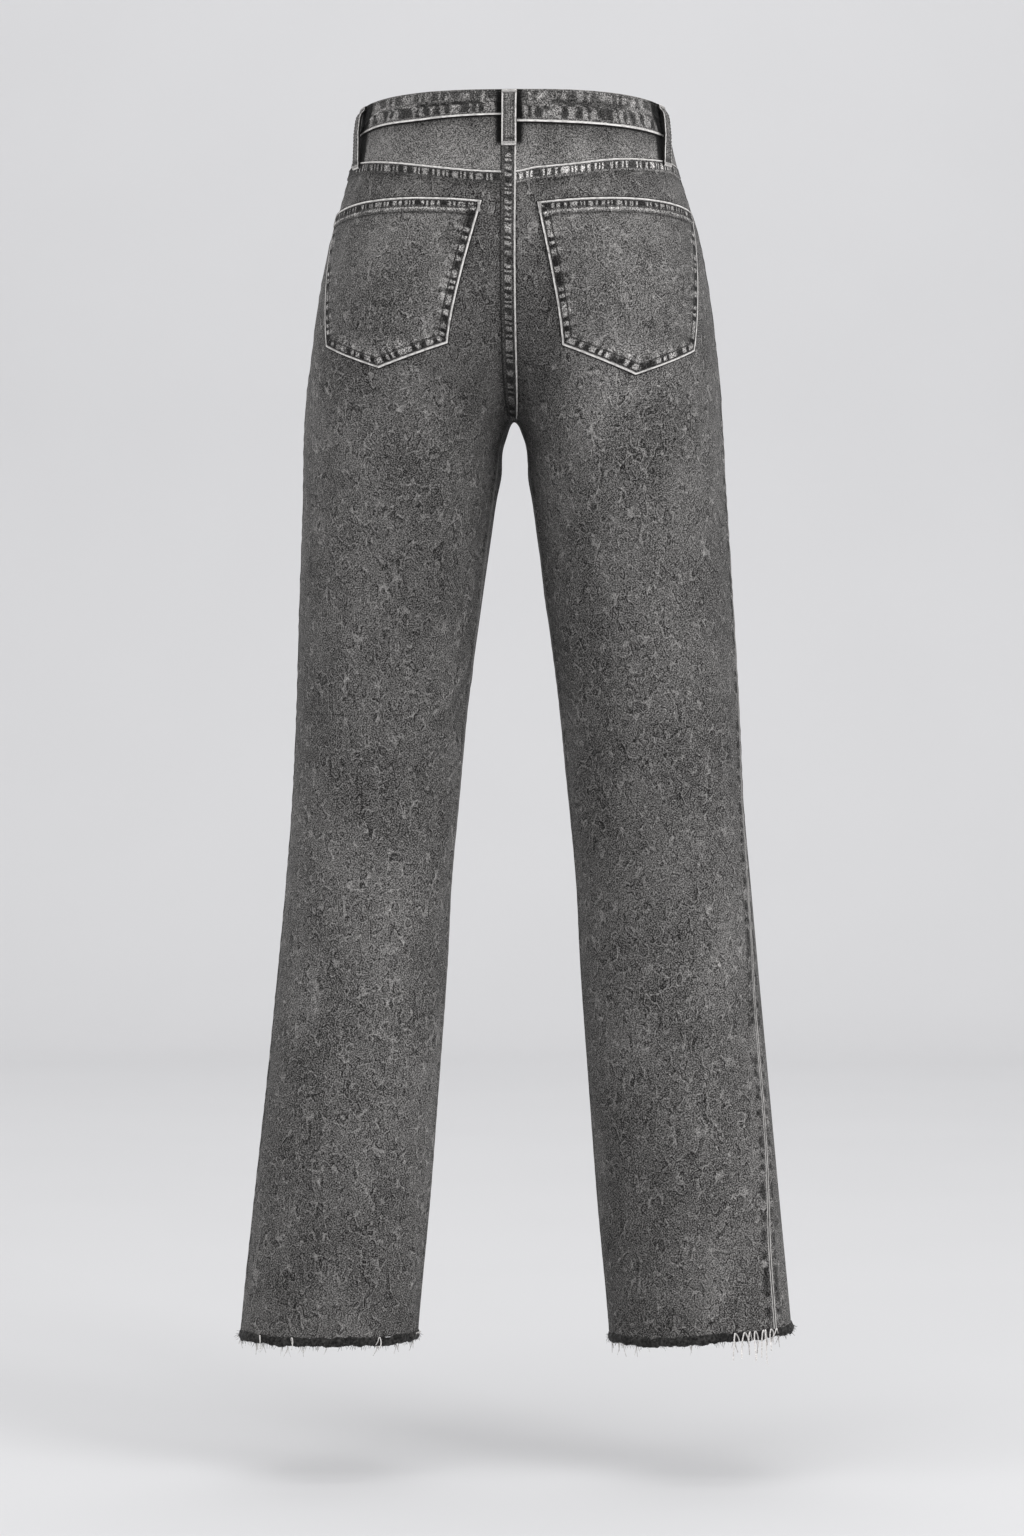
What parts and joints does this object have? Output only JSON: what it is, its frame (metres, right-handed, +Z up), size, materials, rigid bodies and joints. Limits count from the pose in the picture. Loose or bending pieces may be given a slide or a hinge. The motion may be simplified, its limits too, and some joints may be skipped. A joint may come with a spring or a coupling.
{
  "type": "straight-leg jeans",
  "caption": "High-rise straight-leg jeans of washed dark denim with raw frayed hems, belt loops and patch pockets at the back, open and hollow as when worn.",
  "frame": {"origin": "centre of the waist, half way up the waistband, where the wearer's waist holds the garment", "axes": "+Z up along the garment's height, -Y out of the front, +X towards the wearer's left"},
  "size_m": [0.4417, 0.2212, 0.9922],
  "materials": {
    "denim_leg": "washed black denim twill, matt, faded to a dark warm grey with white worn folds",
    "denim_yoke": "the same denim, faded lighter and mottled",
    "denim_frayed": "raw frayed denim edge with loose threads",
    "button_metal": "dull dark metal"
  },
  "bodies": {
    "root": {"back_left": "denim_leg", "back_pocket_left": "denim_leg", "back_pocket_right": "denim_leg", "back_right": "denim_leg", "front_left": "denim_leg", "front_right": "denim_leg", "hem_left": "denim_frayed", "hem_right": "denim_frayed", "loop_back": "denim_yoke", "loop_front_left": "denim_yoke", "loop_front_right": "denim_yoke", "loop_side_left": "denim_yoke", "loop_side_right": "denim_yoke", "pocket_facing_left": "denim_leg", "pocket_facing_right": "denim_leg", "waist_button": "button_metal", "waistband": "denim_yoke", "yoke_left": "denim_yoke", "yoke_right": "denim_yoke"}
  },
  "joints": []
}
